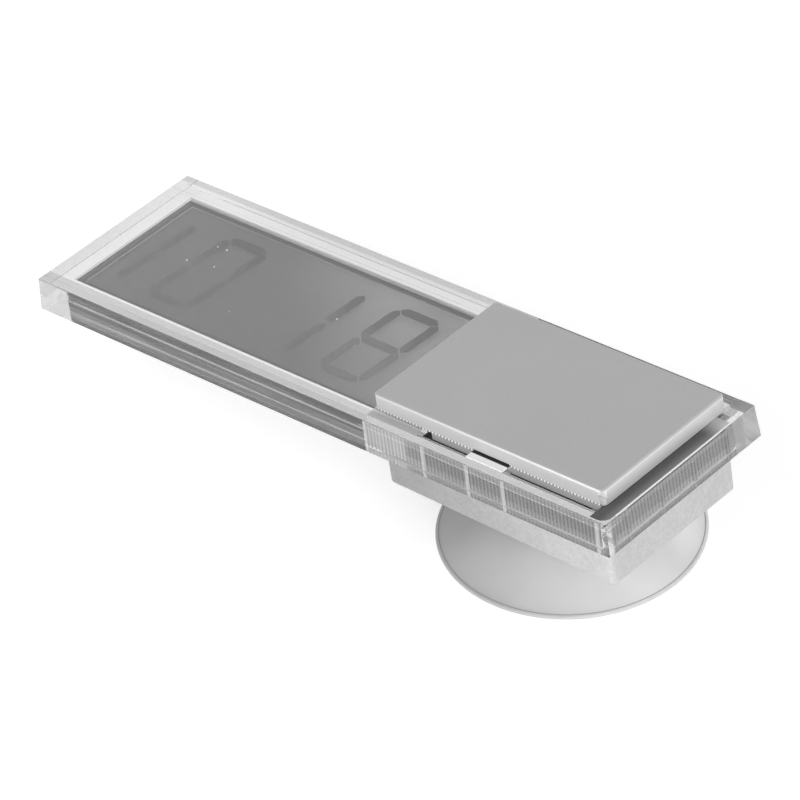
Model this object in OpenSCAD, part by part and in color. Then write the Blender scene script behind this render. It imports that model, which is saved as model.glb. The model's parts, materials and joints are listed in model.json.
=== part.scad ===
// Digital car clock: a clear face plate with a see-through liquid crystal display, a silver
// lift-off cover, a frosted rear housing and a soft sucker that holds it to glass.
// The head is modelled flat, with x = 0 at the plate's right end, y = 0 on its centre line and
// z = 0 at its top face. It is then tipped onto the sucker, whose rim lies on the ground plane.

/* [Face plate] */
// Length of the clear face plate at its top face
plate_l = 100; // [90:1:120]
// Width of the clear face plate at its top face
plate_w = 28.9; // [28.5:0.1:34]
// Thickness of the clear face plate
plate_t = 4.8; // [4.6:0.1:6]
// How far each side face leans out from top to bottom
plate_flare = 0.3; // [0.1:0.1:1]
// Clear wall left around the module pocket
pocket_wall = 1.5; // [1:0.1:1.7]
// Clear skin left above the module pocket
pocket_skin = 1.0; // [0.8:0.1:1.2]
// How far the module pocket reaches past the cover towards the display
pocket_reach = 0.6; // [0.4:0.1:1]

/* [Display] */
// Width of the display glass
display_w = 22.4; // [20:0.1:22.8]
// Distance from the plate's left end to the display glass
display_margin = 3.8; // [2:0.1:8]
// Clear skin left above the display
display_skin = 1.3; // [1.1:0.1:1.5]
// Thickness of each display glass
glass_t = 0.7; // [0.5:0.05:0.8]
// Thickness of each polarising film
polariser_t = 0.18; // [0.12:0.02:0.24]
// Gap between the two glasses, filled by the liquid crystal
crystal_gap = 0.12; // [0.08:0.02:0.2]
// Width of the seal around the liquid crystal
seal_w = 0.8; // [0.5:0.1:1.4]
// Length of the front glass's contact ledge past the rear glass
ledge_l = 2.8; // [2.4:0.1:3.2]
// How far the polarising films stop short of the glass edges
polariser_inset = 0.5; // [0.2:0.1:1]

/* [Digits] */
// Height of a digit
digit_h = 16.2; // [12:0.1:17]
// Width of a digit
digit_w = 8.2; // [6:0.1:9]
// Width of one bar of a digit
bar_w = 1.4; // [0.8:0.1:1.8]
// Gap between neighbouring bars
bar_gap = 0.3; // [0.1:0.05:0.5]
// Distance from the display's left end to the first digit's centre
digit_to_end = 0.9; // [0.5:0.1:3]
// Extra room for a colon between the hours and the minutes
colon_room = 5.1; // [3:0.1:6]
// Distance from the last digit's centre to the cover
digit_to_cover = 10.2; // [6:0.1:12]
// Lean of the digits to the right
digit_slant = 3; // [0:1:8]

/* [Cover] */
// Length of the silver cover
cover_l = 38.4; // [36:0.1:44]
// Width of the silver cover
cover_w = 23.8; // [23.4:0.1:24]
// Height of the silver cover above its lower edge
cover_h = 2.4; // [2:0.1:3]
// Wall and roof thickness of the cover
cover_wall = 0.9; // [0.6:0.05:1]
// Rounding of the cover's top edges
cover_edge_r = 0.45; // [0.2:0.05:0.8]
// Rounding of the cover's upright corners
cover_corner_r = 0.9; // [0.4:0.1:1.5]
// Distance from the cover to the plate's right end
cover_end_gap = 2.3; // [1.7:0.1:4]
// Slit between the cover's lower edge and the plate
cover_slit = 0.1; // [0.1:0.05:0.3]
// Depth of the cover's legs below the plate's top face
leg_depth = 0.9; // [0.5:0.05:0.95]
// Thickness of the cover's legs
leg_t = 0.8; // [0.5:0.05:0.85]
// Length of the leg nearer the display
short_leg_l = 7.0; // [5:0.1:9]
// Length of the leg nearer the plate's right end
long_leg_l = 14.9; // [12:0.1:16]
// Width of the clear tongue between the two legs
tongue_w = 6.0; // [4:0.1:7]
// Height of the clear tongue above the plate
tongue_h = 0.2; // [0.15:0.05:0.4]

/* [Ribbed frame] */
// Thickness of the ribbed frame's wall behind its ribs
frame_wall = 0.7; // [0.5:0.05:0.9]
// Height of each fine rib
rib_h = 0.25; // [0.15:0.05:0.35]
// Distance from rib to rib
rib_pitch = 0.6; // [0.5:0.05:1]
// Radius of the frame's screw posts
post_r = 1.5; // [1.2:0.1:1.6]
// Distance from the centre line to the screw posts
post_y = 9.6; // [9.5:0.05:9.8]

/* [Module] */
// Thickness of the circuit board
board_t = 0.8; // [0.6:0.1:1.2]
// Thickness of the tray's deck
deck_t = 1.0; // [0.7:0.1:1.2]
// Thickness of the tray's walls
tray_wall = 0.8; // [0.6:0.1:1]
// Diameter of the button cell
cell_d = 11.6; // [9.5:0.1:12]
// Height of the button cell
cell_h = 5.4; // [4.8:0.1:5.6]
// Distance from the plate's right end to the cell's axis
cell_x = 12.6; // [11:0.1:13]
// Diameter of each button
button_d = 3.2; // [2.4:0.1:3.8]
// Travel of each button
button_travel = 0.35; // [0.2:0.05:0.4]
// How far each button stands above the plate's top face
button_proud = 0.5; // [0.2:0.05:0.7]
// Distance from the plate's right end to the buttons
button_x = 27.4; // [26:0.1:28.5]
// Distance between the two buttons
button_pitch = 8.4; // [7:0.1:9]

/* [Rear housing] */
// Depth of the housing below the plate at its display end
drop_left = 6.4; // [6:0.1:9]
// Depth of the housing below the plate at the plate's right end
drop_right = 7.35; // [6:0.05:11]
// Wall thickness of the housing
housing_wall = 1.2; // [1:0.05:1.4]
// Floor thickness of the housing
floor_t = 1.3; // [1:0.1:1.6]
// Rounding of the housing's upright corners
housing_corner_r = 0.8; // [0.4:0.1:1.2]
// Shank diameter of the housing's screws
screw_d = 1.2; // [1:0.1:1.4]
// Head diameter of the housing's screws
screw_head_d = 2.3; // [2:0.1:2.4]

/* [Sucker] */
// Diameter of the sucker's rim
sucker_d = 35; // [30:1:45]
// Height of the sucker's cone up to its shoulder
cone_h = 6.4; // [5:0.1:9]
// Thickness of the sucker's rim
rim_t = 0.5; // [0.3:0.05:0.9]
// Width of the flat ring that seals on the glass
rim_land = 1.2; // [0.6:0.1:2]
// Depth of the hollow under the sucker
hollow_depth = 3.4; // [2:0.1:3.9]
// Radius of the sucker's shoulder under the housing
shoulder_r = 5.5; // [4.5:0.1:6]
// Radius of the sucker's neck
neck_r = 2.6; // [2:0.1:3]
// Radius of the sucker's mushroom head
head_r = 4.2; // [3.6:0.1:4.6]
// Thickness of the sucker's mushroom head
head_t = 2.0; // [1.2:0.1:2.2]
// Lean of the head's face away from the sucker's axis
lean = 5.2; // [0:0.1:6]

/* [Hidden] */

$fn = 30;
// Facets round the sucker's rim
rim_facets = 46;
// Steps along the arc of a blob or a dome
arc_steps = 4;

// One overrun serves all cuts
cut = 1;
// Clearance around pieces that drop into a recess
recess_gap = 0.15;
// Thin air gap between stacked display layers
air_gap = 0.04;
// Film gap on each side of the seal and the digit bars
film_gap = 0.02;
// Gap under a piece that rests on another body
rest_gap = 0.05;
// Radial clearance of a button in its guide
guide_gap = 0.08;
// Radial clearance of a screw in its hole
screw_gap = 0.03;

// Plate and pocket
pocket_x0 = -(cover_end_gap + cover_l + pocket_reach);
pocket_x1 = -pocket_wall;
pocket_y = plate_w / 2 - pocket_wall;
pocket_z = -pocket_skin;
plate_z = -plate_t;

// Display layers, from the front
glass_x0 = -plate_l + display_margin;
front_polariser_z = -display_skin - air_gap;
front_glass_z = front_polariser_z - polariser_t - air_gap;
crystal_z = front_glass_z - glass_t;
rear_glass_z = crystal_z - crystal_gap;
rear_polariser_z = rear_glass_z - glass_t - air_gap;
window_z = rear_polariser_z - polariser_t - air_gap;
// How far the rear glass reaches into the module pocket
ledge_step = 1.9;
rear_glass_x1 = pocket_x0 + ledge_step;
front_glass_x1 = rear_glass_x1 + ledge_l;
recess_y = display_w / 2 + recess_gap;
glass_room_x1 = front_glass_x1 + recess_gap;

// Cover
cover_x1 = -cover_end_gap;
cover_x0 = cover_x1 - cover_l;
cover_y = cover_w / 2;
cover_roof_z = cover_slit + cover_h - cover_wall;
// Distance from the cover's right edge to its long leg
leg_end_inset = 0.6;
long_leg_x1 = cover_x1 - leg_end_inset;
long_leg_x0 = long_leg_x1 - long_leg_l;
tongue_x1 = long_leg_x0 - rest_gap;
tongue_x0 = tongue_x1 - tongue_w;
short_leg_x1 = tongue_x0 - rest_gap;
short_leg_x0 = short_leg_x1 - short_leg_l;
// Length of the slot left open past the short leg
slot_spare = 1.6;
// Side clearance between a leg and its slot
slot_gap = 0.1;
slot_y = cover_y - leg_t - slot_gap;
// Height of the dark slit above the tongue
notch_slit = 0.2;
// How far the tongue reaches in under the cover's wall
tongue_reach = 0.4;
// How far the tongue stands out beside the cover's wall
tongue_out = 1.4;
// Radius of the pads that the cover stands on
pad_r = 1.0;

// Ribbed frame
frame_x0 = pocket_x0 + rest_gap;
frame_x1 = pocket_x1 - rest_gap;
frame_y = pocket_y - rest_gap;
frame_z1 = pocket_z - rest_gap;
frame_in_y = frame_y - rib_h - frame_wall;
frame_in_x1 = frame_x1 - rib_h - frame_wall;
// Height of the frame's end wall under the display
sill_z = window_z - recess_gap;
// Radius of the slim light columns on the frame's walls
column_r = 0.45;

// Screw posts, one near each corner
post_x1 = frame_in_x1 - post_r - recess_gap;
post_x0 = front_glass_x1 + recess_gap + post_r;
post_places = [for (x = [post_x0, post_x1]) for (side = [-1, 1]) [x, side * post_y]];
// Height of the solid cap that closes each post's pilot hole
post_cap = 1.0;

// Module stack
// Drop of the board's top face below the plate
board_drop = 0.15;
board_z = plate_z - board_drop;
// Thickness of the sheet metal of the contacts
contact_t = 0.15;
cell_z = board_z + contact_t;
cell_top = cell_z + cell_h;
tray_x0 = front_glass_x1 + 2 * recess_gap;
tray_x1 = frame_in_x1 - recess_gap;
tray_y = frame_in_y - recess_gap;
tray_z1 = pocket_z - rest_gap;
tray_z0 = plate_z + rest_gap;
deck_z = tray_z1 - deck_t;
// Strip of tray left between the raised island and the posts
island_step = 0.2;
island_y = post_y - post_r - island_step;
island_x0 = tray_x0 + tray_wall + island_step;
island_x1 = tray_x1 - tray_wall - island_step;
well_r = cell_d / 2 + recess_gap;

// Button cell
// Width of the crimped lip of the can
crimp_w = 0.6;
// Height of the cap that stands below the crimped lip
cap_h = 0.3;
// Height of the gasket between can and cap
gasket_h = 0.35;
cap_r = cell_d / 2 - 2 * crimp_w;

// Buttons and the domes under them
button_r = button_d / 2;
// Width of the flange that keeps a button in the tray
flange_w = 0.5;
// Thickness of that flange
flange_t = 0.6;
// Height of a snap dome
dome_h = 0.4;
// Thickness of a snap dome
dome_t = 0.1;
// Radius of a snap dome
dome_r = 1.9;
flange_z1 = deck_z - rest_gap;
button_z0 = board_z + dome_h + button_travel + rest_gap;

// Rear housing
// How far the housing's display end stands in from the cover's
housing_set_in = 0.55;
housing_x0 = cover_x0 + housing_set_in;
housing_x1 = cover_x1;
housing_y = cover_y;
housing_l = housing_x1 - housing_x0;
floor_angle = atan((drop_right - drop_left) / housing_l);
// Depth of the housing below the plate at a place along x
function drop_at(x) = drop_left + (drop_right - drop_left) * (x - housing_x0) / housing_l;
// Depth of the screw counterbores above the floor's lower face
counterbore = 3.2;
// Thickness of the screw heads
screw_head_t = 0.9;
// Length of the screws' shank above the housing's mouth
screw_bite = 2.2;
// Width of the shelf ribs that carry the board
shelf_w = 1.2;

// Circuit board
board_x0 = housing_x0 + housing_wall + recess_gap;
board_x1 = housing_x1 - housing_wall - recess_gap;
board_y = housing_y - housing_wall - recess_gap;

// Zebra strip between the glass ledge and the board
// Width of the zebra strip
zebra_w = 1.5;
// How far the strip stops short of the board's sides
zebra_inset = 0.15;
zebra_x1 = front_glass_x1 - recess_gap;

// Sucker
// Offset of the sucker's hole from the housing's middle
sucker_offset = 1.4;
sucker_x = (housing_x0 + housing_x1) / 2 + sucker_offset;
// Clearance between the sucker's shoulder or head and the floor
seat_gap = 0.15;
tilt = lean - floor_angle;
seat_z = cone_h + shoulder_r * tan(abs(tilt)) + seat_gap;
floor_top_z = seat_z + floor_t;
head_z = floor_top_z + head_r * tan(abs(tilt)) + seat_gap;
// Clearance of the neck in its hole
neck_gap = 0.4;
// Steps of the cone's curve
cone_steps = 9;
// Power that bends the cone's upper face
cone_bend_share = 1.3;

// Stands the flat-modelled head on the sucker, tipped by the lean
module on_sucker() {
    translate([0, 0, seat_z])
        rotate([0, -lean, 0])
            translate([-sucker_x, 0, plate_t + drop_at(sucker_x)])
                children();
}

// A block given by its lowest and highest corners
module block(low, high) {
    translate(low) cube(high - low);
}

// A block centred on y = 0
module band(x0, x1, half_y, z0, z1) {
    block([x0, -half_y, z0], [x1, half_y, z1]);
}

// The same piece on both sides of the centre line
module both_sides() {
    children();
    mirror([0, 1, 0]) children();
}

// Points of a cap's arc from its rim up to its crown, for a cap of radius r and height h
function cap_arc(r, h, steps = arc_steps) =
    let (ball_r = (r * r + h * h) / (2 * h), half_angle = asin(r / ball_r))
    [for (i = [0:steps]) let (a = half_angle * (1 - i / steps))
        [ball_r * sin(a), h - ball_r * (1 - cos(a))]];

// A list of points in reverse order
function backwards(points) = [for (i = [len(points) - 1:-1:0]) points[i]];

// A rectangle with round corners, from its lowest to its highest corner
module round_plan(low, high, r) {
    translate(low + [r, 0]) square([high.x - low.x - 2 * r, high.y - low.y]);
    translate(low + [0, r]) square([high.x - low.x, high.y - low.y - 2 * r]);
    for (x = [low.x + r, high.x - r])
        for (y = [low.y + r, high.y - r])
            translate([x, y]) circle(r);
}

// An extrusion along y of an outline drawn in x and z
module along_y(half_y) {
    translate([0, half_y, 0]) rotate([90, 0, 0]) linear_extrude(2 * half_y) children();
}

// An extrusion along x of an outline drawn in y and z
module along_x(x0, x1) {
    translate([x0, 0, 0]) rotate([90, 0, 90]) linear_extrude(x1 - x0) children();
}

// The plate's block, whose four side faces lean out towards the bottom
module flared_block() {
    intersection() {
        along_y(plate_w)
            polygon([[-plate_l, 0], [0, 0], [plate_flare, plate_z], [-plate_l - plate_flare, plate_z]]);
        along_x(-plate_l - cut, cut)
            polygon([[-plate_w / 2, 0], [plate_w / 2, 0],
                [plate_w / 2 + plate_flare, plate_z], [-plate_w / 2 - plate_flare, plate_z]]);
    }
}

// Openings in the plate's skin for one side's two legs
module leg_slots() {
    block([short_leg_x0 - slot_spare, slot_y, pocket_z - cut], [short_leg_x1 + rest_gap, pocket_y, cut]);
    block([long_leg_x0 - rest_gap, slot_y, pocket_z - cut], [long_leg_x1 + slot_gap, pocket_y, cut]);
}

// The clear key that enters the cover's notch on one side
module tongue() {
    block([tongue_x0, cover_y - cover_wall - tongue_reach, -pocket_skin],
        [tongue_x1, cover_y + tongue_out, tongue_h]);
}

module face_plate() {
    color([0.88, 0.89, 0.9, 0.45]) on_sucker() {
        difference() {
            flared_block();
            band(glass_x0 - recess_gap, glass_room_x1, recess_y, plate_z - cut, -display_skin);
            band(pocket_x0, pocket_x1, pocket_y, plate_z - cut, pocket_z);
            band(island_x0 - recess_gap, island_x1 + recess_gap, island_y + recess_gap, pocket_z - cut, cut);
            both_sides() leg_slots();
        }
        both_sides() tongue();
    }
}

// Clear panel that closes the display's recess from behind
module rear_window() {
    color([0.86, 0.87, 0.88, 0.45]) on_sucker()
        band(glass_x0 - recess_gap + rest_gap, pocket_x0 - rest_gap, recess_y - rest_gap, plate_z, window_z);
}

module polariser(z1) {
    band(glass_x0 + polariser_inset, rear_glass_x1 - polariser_inset,
        display_w / 2 - polariser_inset, z1 - polariser_t, z1);
}

module front_polariser() {
    color([0.5, 0.51, 0.5]) on_sucker() polariser(front_polariser_z);
}

// The front glass carries the contact ledge, so it is the longer one
module front_glass() {
    color([0.6, 0.62, 0.61]) on_sucker()
        band(glass_x0, front_glass_x1, display_w / 2, front_glass_z - glass_t, front_glass_z);
}

module crystal_seal() {
    color([0.35, 0.35, 0.35]) on_sucker()
        difference() {
            band(glass_x0, rear_glass_x1, display_w / 2,
                crystal_z - crystal_gap + film_gap, crystal_z - film_gap);
            band(glass_x0 + seal_w, rear_glass_x1 - seal_w, display_w / 2 - seal_w,
                crystal_z - crystal_gap - cut, crystal_z + cut);
        }
}

// One bar of a digit, pointed at both ends, lying along x
module bar(l) {
    half = bar_w / 2;
    polygon([[0, 0], [half, half], [l - half, half], [l, 0], [l - half, -half], [half, -half]]);
}

// Bars in the usual order: top, upper right, lower right, bottom, lower left, upper left, middle
module bar_of_digit(i) {
    reach = digit_w - bar_w;
    rise = (digit_h - bar_w) / 2;
    starts = [[-reach / 2, rise], [reach / 2, 0], [reach / 2, -rise], [-reach / 2, -rise],
        [-reach / 2, -rise], [-reach / 2, 0], [-reach / 2, 0]];
    upright = [0, 1, 1, 0, 1, 1, 0];
    l = upright[i] == 1 ? rise : reach;
    translate(starts[i]) rotate(90 * upright[i]) translate([bar_gap / 2, 0]) bar(l - bar_gap);
}

// A digit leaned to the right, given the numbers of its bars
module digit(bars) {
    multmatrix([[1, tan(digit_slant), 0, 0], [0, 1, 0, 0], [0, 0, 1, 0], [0, 0, 0, 1]])
        for (i = bars) bar_of_digit(i);
}

// Four plain digits spread over the display's length; the first shows only its right bars
module digit_bars() {
    first_x = glass_x0 + digit_to_end;
    last_x = cover_x0 - digit_to_cover;
    pitch = (last_x - first_x - colon_room) / 3;
    places = [first_x, first_x + pitch, last_x - pitch, last_x];
    lit = [[1, 2], [0, 1, 2, 3, 4, 5], [1, 2], [0, 1, 2, 3, 4, 5, 6]];
    color([0.3, 0.3, 0.3]) on_sucker()
        translate([0, 0, crystal_z - crystal_gap + film_gap])
            linear_extrude(crystal_gap - 2 * film_gap)
                for (i = [0:3]) translate([places[i], 0]) digit(lit[i]);
}

module rear_glass() {
    color([0.6, 0.62, 0.61]) on_sucker()
        band(glass_x0, rear_glass_x1, display_w / 2, rear_glass_z - glass_t, rear_glass_z);
}

module rear_polariser() {
    color([0.5, 0.51, 0.5]) on_sucker() polariser(rear_polariser_z);
}

// A row of fine upright ribs as a toothed outline, from x0 to x1, standing on y = 0
module rib_row(x0, x1) {
    count = floor((x1 - x0) / rib_pitch);
    pitch = (x1 - x0) / count;
    polygon(concat([[x1, -frame_wall / 2], [x0, -frame_wall / 2]],
        [for (i = [0:count - 1]) each [[x0 + i * pitch, 0], [x0 + (i + 0.5) * pitch, rib_h]]],
        [[x1, 0]]));
}

// Outline of one long side of the frame: wall, ribs between the light columns, and post webs
module frame_side_plan() {
    breaks = [frame_x0, post_x0, short_leg_x0, tongue_x0, tongue_x1, long_leg_x1, frame_x1];
    translate([frame_x0, frame_in_y]) square([frame_x1 - frame_x0, frame_wall]);
    translate([0, frame_in_y + frame_wall]) {
        rib_row(breaks[0], breaks[1] - post_r);
        rib_row(breaks[2], breaks[3] - column_r);
        rib_row(breaks[3] + column_r, breaks[4] - column_r);
        rib_row(breaks[4] + column_r, breaks[5]);
    }
    for (x = [breaks[2] - column_r, breaks[3], breaks[4], breaks[5] + column_r])
        translate([x, frame_y - column_r]) circle(column_r);
    for (x = [post_x0, post_x1]) {
        translate([x, post_y]) circle(post_r);
        translate([x - frame_wall / 2, post_y]) square([frame_wall, frame_in_y - post_y + frame_wall / 2]);
    }
}

// Clear inner frame with fine ribs and four screw posts, bonded into the module pocket
module ribbed_frame() {
    color([0.8, 0.81, 0.82, 0.6]) on_sucker()
        difference() {
            union() {
                translate([0, 0, plate_z]) linear_extrude(frame_z1 - plate_z) {
                    both_sides() frame_side_plan();
                    translate([frame_in_x1, -frame_in_y - frame_wall])
                        square([frame_wall, 2 * (frame_in_y + frame_wall)]);
                    for (y = [-post_y, -post_y / 3, post_y / 3, post_y])
                        translate([frame_x1 - column_r, y]) circle(column_r);
                }
                band(frame_x0, frame_x0 + frame_wall, frame_in_y + frame_wall, plate_z, sill_z);
            }
            band(frame_x0 - cut, glass_room_x1, recess_y, sill_z, 0);
            for (place = post_places)
                translate([place.x, place.y, plate_z - cut])
                    cylinder(h = cut + frame_z1 - plate_z - post_cap, r = screw_d / 2 + screw_gap);
        }
}

// Room for the frame's posts and their webs in the tray and the board
module post_room(z0, z1) {
    for (x = [post_x0, post_x1])
        both_sides() {
            translate([x, post_y, z0]) cylinder(h = z1 - z0, r = post_r + recess_gap);
            block([x - post_r - recess_gap, post_y, z0], [x + post_r + recess_gap, plate_w, z1]);
        }
}

// Black tray: a deck under the plate's skin, a raised island in its window, walls and a cell well
module module_tray() {
    color([0.16, 0.16, 0.17]) on_sucker()
        difference() {
            union() {
                difference() {
                    band(tray_x0, tray_x1, tray_y, tray_z0, tray_z1);
                    band(tray_x0 + tray_wall, tray_x1 - tray_wall, tray_y - tray_wall, tray_z0 - cut, deck_z);
                }
                band(island_x0, island_x1, island_y, deck_z, -rest_gap);
                translate([-cell_x, 0, tray_z0]) cylinder(h = -rest_gap - tray_z0, r = well_r + tray_wall);
            }
            post_room(tray_z0 - cut, tray_z1 + cut);
            translate([-cell_x, 0, tray_z0 - cut]) cylinder(h = 2 * cut - tray_z0, r = well_r);
            block([-cell_x, -clip_w / 2 - recess_gap, tray_z0 - cut],
                [-cell_x + well_r + tray_wall + cut, clip_w / 2 + recess_gap, deck_z]);
            for (side = [-1, 1])
                translate([-button_x, side * button_pitch / 2, tray_z0 - cut])
                    cylinder(h = 2 * cut - tray_z0, r = button_r + guide_gap);
        }
}

module circuit_board() {
    color([0.2, 0.32, 0.24]) on_sucker()
        difference() {
            translate([0, 0, board_z - board_t])
                linear_extrude(board_t)
                    round_plan([board_x0, -board_y], [board_x1, board_y], housing_corner_r);
            post_room(board_z - board_t - cut, board_z + cut);
        }
}

// Striped rubber strip that joins the glass ledge to the board
module zebra_strip() {
    color([0.3, 0.3, 0.32]) on_sucker()
        band(zebra_x1 - zebra_w, zebra_x1, board_y - zebra_inset, board_z, crystal_z - rest_gap);
}

// Pieces under the board
board_under = board_z - board_t;
// Radius and height of the epoxy blob over the clock chip
blob_r = 3.2;
blob_h = 1.0;
// Can radius and length of the watch crystal, and its lead radius
crystal_r = 0.95;
crystal_l = 6.0;
lead_r = 0.15;
// Length of the crystal's leads past the can
lead_l = 1.4;
// Size of one chip capacitor
capacitor_size = [1.6, 0.8, 0.8];
// Share of the board's half width at which the capacitors lie
capacitor_side_share = 0.6;

module chip_blob() {
    color([0.08, 0.08, 0.09]) on_sucker()
        translate([-button_x - button_r - flange_w, 0, board_under])
            mirror([0, 0, 1]) rotate_extrude() polygon(concat([[0, 0]], cap_arc(blob_r, blob_h)));
}

// Cylindrical watch crystal lying under the board near the plate's right end
module quartz_crystal() {
    color([0.75, 0.75, 0.76]) on_sucker()
        translate([-cell_x + cap_r, 0, board_under - crystal_r]) rotate([-90, 0, 0]) {
            translate([0, 0, -crystal_l / 2]) cylinder(h = crystal_l, r = crystal_r);
            for (side = [-1, 1])
                translate([side * crystal_r / 2, 0, crystal_l / 2 - lead_r])
                    cylinder(h = lead_l + lead_r, r = lead_r);
        }
}

module chip_capacitors() {
    color([0.62, 0.5, 0.38]) on_sucker()
        for (side = [-1, 1])
            for (step = [0, 1])
                translate([-button_x - 2 * step * capacitor_size.x, side * board_y * capacitor_side_share,
                    board_under - capacitor_size.z])
                    translate([-capacitor_size.x / 2, -capacitor_size.y / 2, 0]) cube(capacitor_size);
}

// Width of the positive contact's strip
clip_w = 3.0;
// Length of the positive contact's foot on the board
clip_foot = 1.5;
// Number and width of the negative contact's fingers
finger_count = 3;
finger_w = 1.2;

// Star-shaped spring leaf under the cell
module negative_contact() {
    color([0.8, 0.7, 0.4]) on_sucker()
        translate([-cell_x, 0, board_z]) linear_extrude(contact_t) {
            circle(cap_r / 2);
            for (i = [0:finger_count - 1])
                rotate(i * 360 / finger_count) translate([0, -finger_w / 2]) square([cap_r, finger_w]);
        }
}

// L-shaped strip that stands on the board and bears on the can's side
module positive_contact() {
    strip_x = -cell_x + cell_d / 2 + rest_gap;
    color([0.8, 0.7, 0.4]) on_sucker() {
        block([strip_x, -clip_w / 2, board_z], [strip_x + contact_t, clip_w / 2, deck_z - rest_gap]);
        block([strip_x, -clip_w / 2, board_z], [strip_x + clip_foot, clip_w / 2, board_z + contact_t]);
    }
}

// Steel can, flat face up, with its crimped lip around the cap below
module cell_can() {
    r = cell_d / 2;
    color([0.78, 0.78, 0.77]) on_sucker()
        translate([-cell_x, 0, cell_z])
            rotate_extrude()
                polygon([[0, cap_h + gasket_h], [r - crimp_w, cap_h + gasket_h], [r - crimp_w, cap_h],
                    [r - crimp_w / 3, cap_h], [r, cap_h + crimp_w / 3], [r, cell_h - crimp_w / 3],
                    [r - crimp_w / 3, cell_h], [0, cell_h]]);
}

module cell_gasket() {
    color([0.25, 0.35, 0.6]) on_sucker()
        translate([-cell_x, 0, cell_z + cap_h])
            difference() {
                cylinder(h = gasket_h, r = cell_d / 2 - crimp_w);
                translate([0, 0, -cut]) cylinder(h = gasket_h + 2 * cut, r = cap_r);
            }
}

module cell_cap() {
    color([0.8, 0.79, 0.76]) on_sucker()
        translate([-cell_x, 0, cell_z]) cylinder(h = cap_h + gasket_h, r = cap_r);
}

// Two snap domes on the board, one under each button
module switch_domes() {
    color([0.82, 0.82, 0.83]) on_sucker()
        for (side = [-1, 1])
            translate([-button_x, side * button_pitch / 2, board_z])
                rotate_extrude()
                    polygon(concat(cap_arc(dome_r, dome_h),
                        backwards(cap_arc(dome_r - dome_t, dome_h - dome_t))));
}

// The housing's outer block: level mouth under the plate and a floor that slopes down to the right
module housing_block(inset, floor_up) {
    intersection() {
        along_y(plate_w)
            polygon([[housing_x0 + inset, plate_z], [housing_x1 - inset, plate_z],
                [housing_x1 - inset, plate_z - drop_at(housing_x1 - inset) + floor_up],
                [housing_x0 + inset, plate_z - drop_at(housing_x0 + inset) + floor_up]]);
        translate([0, 0, plate_z - 2 * drop_right])
            linear_extrude(2 * drop_right + cut)
                round_plan([housing_x0 + inset, -housing_y + inset],
                    [housing_x1 - inset, housing_y - inset], housing_corner_r);
    }
}

// Keyhole in the floor: the sucker's head goes in at the round end and slides to the neck's place
module keyhole() {
    entry_r = head_r + neck_gap;
    entry_x = sucker_x - entry_r - neck_r - neck_gap;
    low = plate_z - drop_at(sucker_x) - floor_t;
    translate([sucker_x, 0, low]) cylinder(h = 3 * floor_t, r = neck_r + neck_gap);
    translate([entry_x, 0, low]) cylinder(h = 3 * floor_t, r = entry_r);
    band(entry_x, sucker_x, neck_r - neck_gap, low, low + 3 * floor_t);
}

// Frosted housing with screw bosses, shelf ribs for the board and the sucker's keyhole
module rear_housing() {
    color([0.78, 0.79, 0.79]) on_sucker()
        difference() {
            union() {
                difference() {
                    housing_block(0, 0);
                    translate([0, 0, cut]) housing_block(housing_wall, floor_t - cut);
                }
                intersection() {
                    housing_block(0, 0);
                    union() {
                        for (place = post_places)
                            translate([place.x, place.y, plate_z - 2 * drop_right])
                                cylinder(h = 2 * drop_right, r = post_r);
                        translate([0, 0, board_under - 2 * drop_right])
                            linear_extrude(2 * drop_right)
                                for (x = [-button_x, -cell_x])
                                    both_sides()
                                        translate([x - shelf_w / 2, board_y - shelf_w])
                                            square([shelf_w, shelf_w + housing_wall]);
                    }
                }
            }
            keyhole();
            for (place = post_places) {
                translate([place.x, place.y, plate_z - 2 * drop_right])
                    cylinder(h = 2 * drop_right + cut, r = screw_d / 2 + screw_gap);
                translate([place.x, place.y, plate_z - 2 * drop_right])
                    cylinder(h = 2 * drop_right - drop_at(place.x) + counterbore,
                        r = screw_head_d / 2 + screw_gap);
            }
        }
}

// Four small screws that hold the housing to the frame's posts
module housing_screws() {
    color([0.6, 0.6, 0.61]) on_sucker()
        for (place = post_places)
            translate([place.x, place.y, 0]) {
                seat = plate_z - drop_at(place.x) + counterbore;
                translate([0, 0, seat - screw_head_t]) cylinder(h = screw_head_t, r = screw_head_d / 2);
                translate([0, 0, seat]) cylinder(h = plate_z + screw_bite - seat, r = screw_d / 2);
            }
}

// The cover's outer block, its top edges and upright corners rounded
module cover_block() {
    top = cover_slit + cover_h;
    intersection() {
        along_y(plate_w)
            round_plan([cover_x0, cover_slit - 2 * cover_h], [cover_x1, top], cover_edge_r);
        along_x(-plate_l, 0)
            round_plan([-cover_y, cover_slit - 2 * cover_h], [cover_y, top], cover_edge_r);
        translate([0, 0, cover_slit]) linear_extrude(cover_h)
            round_plan([cover_x0, -cover_y], [cover_x1, cover_y], cover_corner_r);
    }
}

// Silver shell with two legs a side, a notch for the tongue and four pads inside
module silver_cover() {
    color([0.75, 0.75, 0.76]) on_sucker()
        difference() {
            union() {
                difference() {
                    cover_block();
                    band(cover_x0 + cover_wall, cover_x1 - cover_wall, cover_y - cover_wall,
                        cover_slit - cut, cover_roof_z);
                }
                both_sides() {
                    block([short_leg_x0, cover_y - leg_t, -leg_depth], [short_leg_x1, cover_y, cover_roof_z]);
                    block([long_leg_x0, cover_y - leg_t, -leg_depth], [long_leg_x1, cover_y, cover_roof_z]);
                }
                for (x = [post_x0, post_x1])
                    for (side = [-1, 1])
                        translate([x, side * (slot_y + island_y) / 2, rest_gap])
                            cylinder(h = cover_roof_z, r = pad_r);
            }
            both_sides()
                block([tongue_x0 - rest_gap, cover_y - 2 * cover_wall, -cut],
                    [tongue_x1 + rest_gap, cover_y + cut, tongue_h + notch_slit]);
        }
}

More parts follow.
